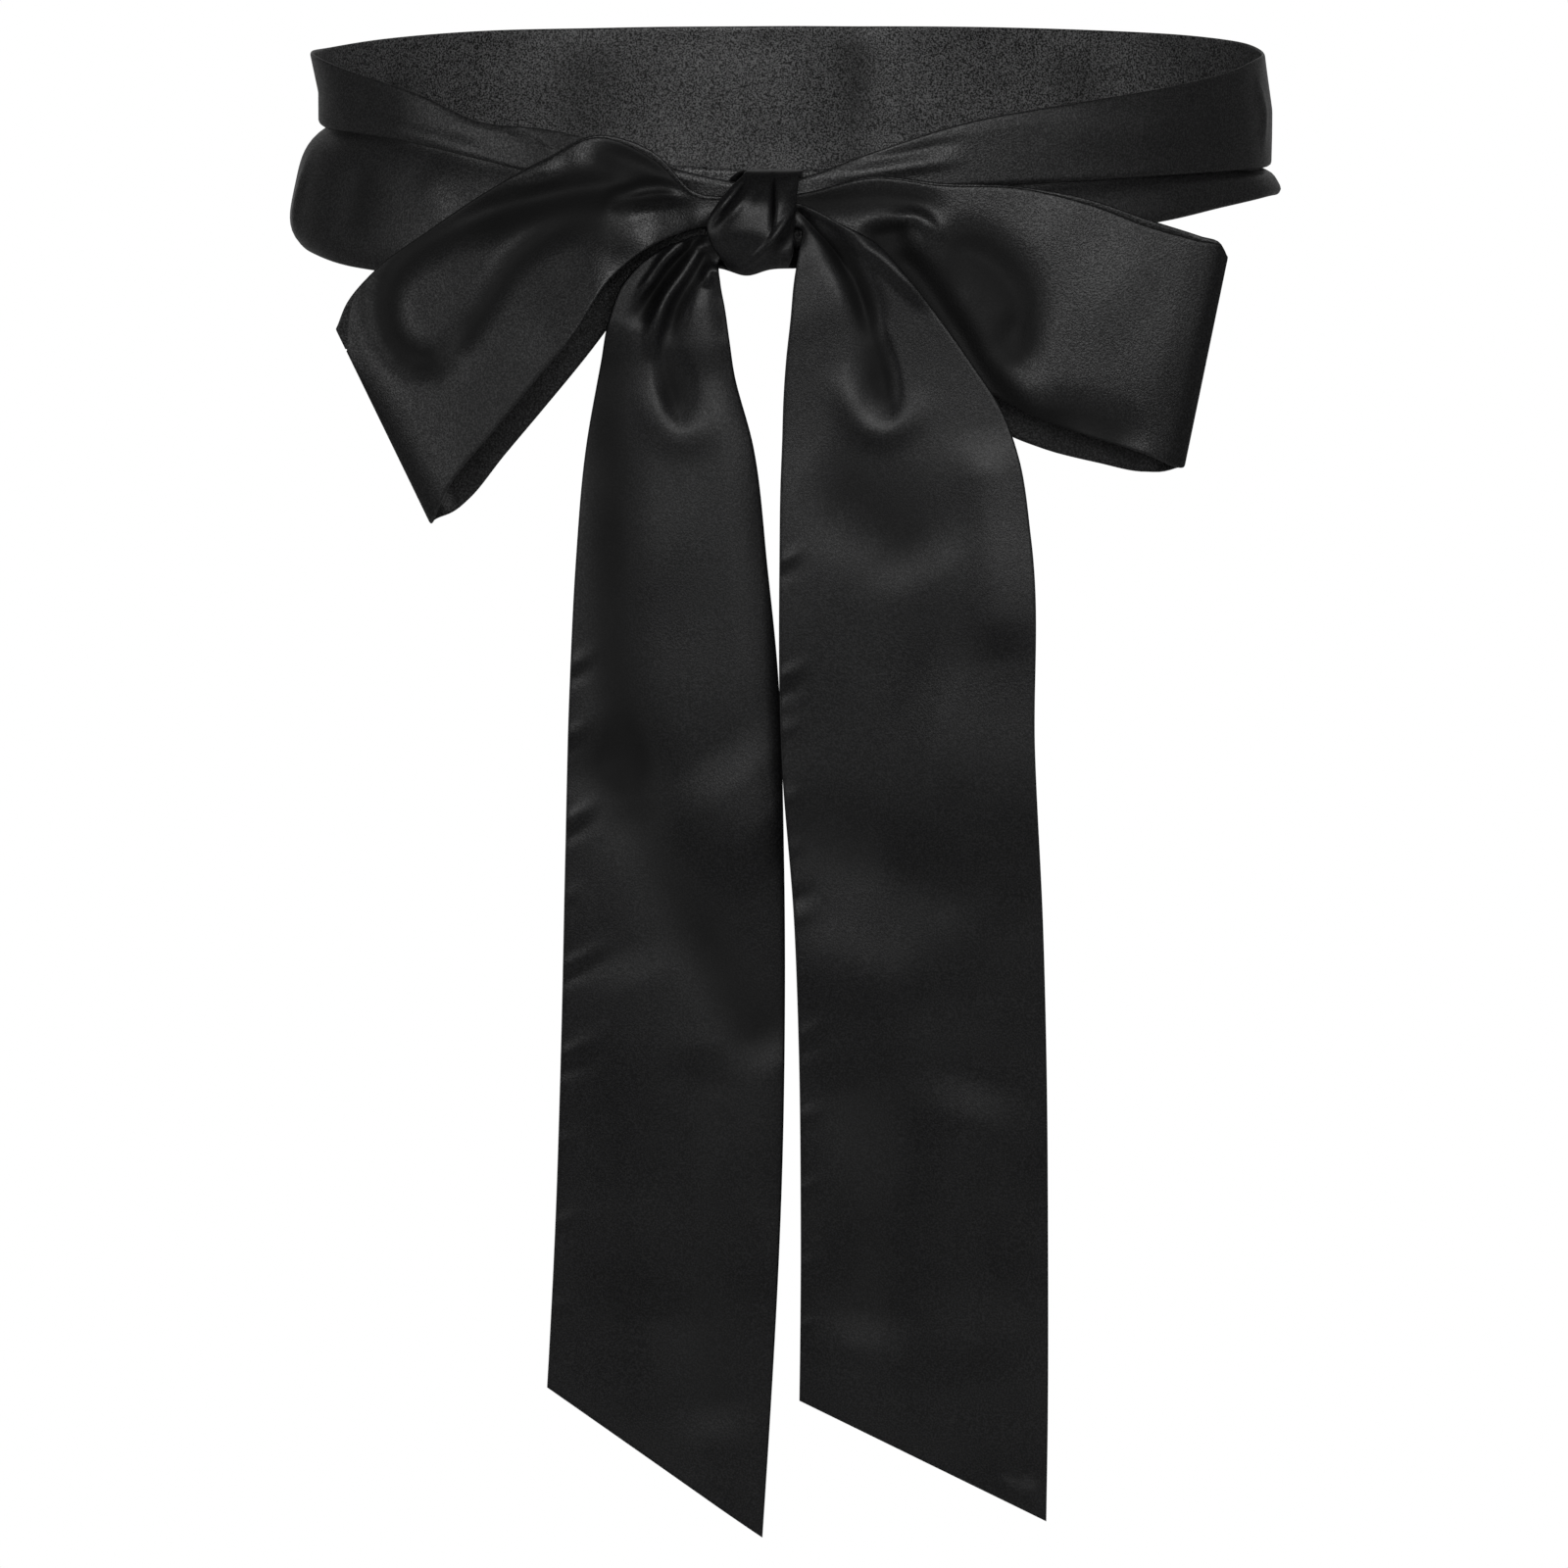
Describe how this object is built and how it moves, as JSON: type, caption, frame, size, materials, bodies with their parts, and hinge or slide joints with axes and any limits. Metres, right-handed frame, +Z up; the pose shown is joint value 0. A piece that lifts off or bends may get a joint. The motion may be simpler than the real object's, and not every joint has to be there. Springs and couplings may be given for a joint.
{
  "type": "satin waist sash tied in a bow",
  "caption": "Wide satin sash in worn form, a hollow pleated waistband tied at the front in a bow with a wrapped knot, two folded loops and two long slanted tails.",
  "frame": {"origin": "middle of the waist opening, at about half the height of the band at the front", "axes": "+X to the viewer's right when facing the bow, -Y towards the front where the bow is, +Z up the wearer's body"},
  "size_m": [0.3142, 0.248, 0.459],
  "materials": {
    "satin": "black satin with a soft sheen",
    "satin_inside": "black satin, slightly grainy"
  },
  "bodies": {
    "root": {"band_back": "satin_inside", "band_left": "satin", "band_right": "satin", "knot": "satin", "bow_loop_left": "satin", "bow_loop_right": "satin", "tail_left": "satin", "tail_right": "satin"}
  },
  "joints": []
}
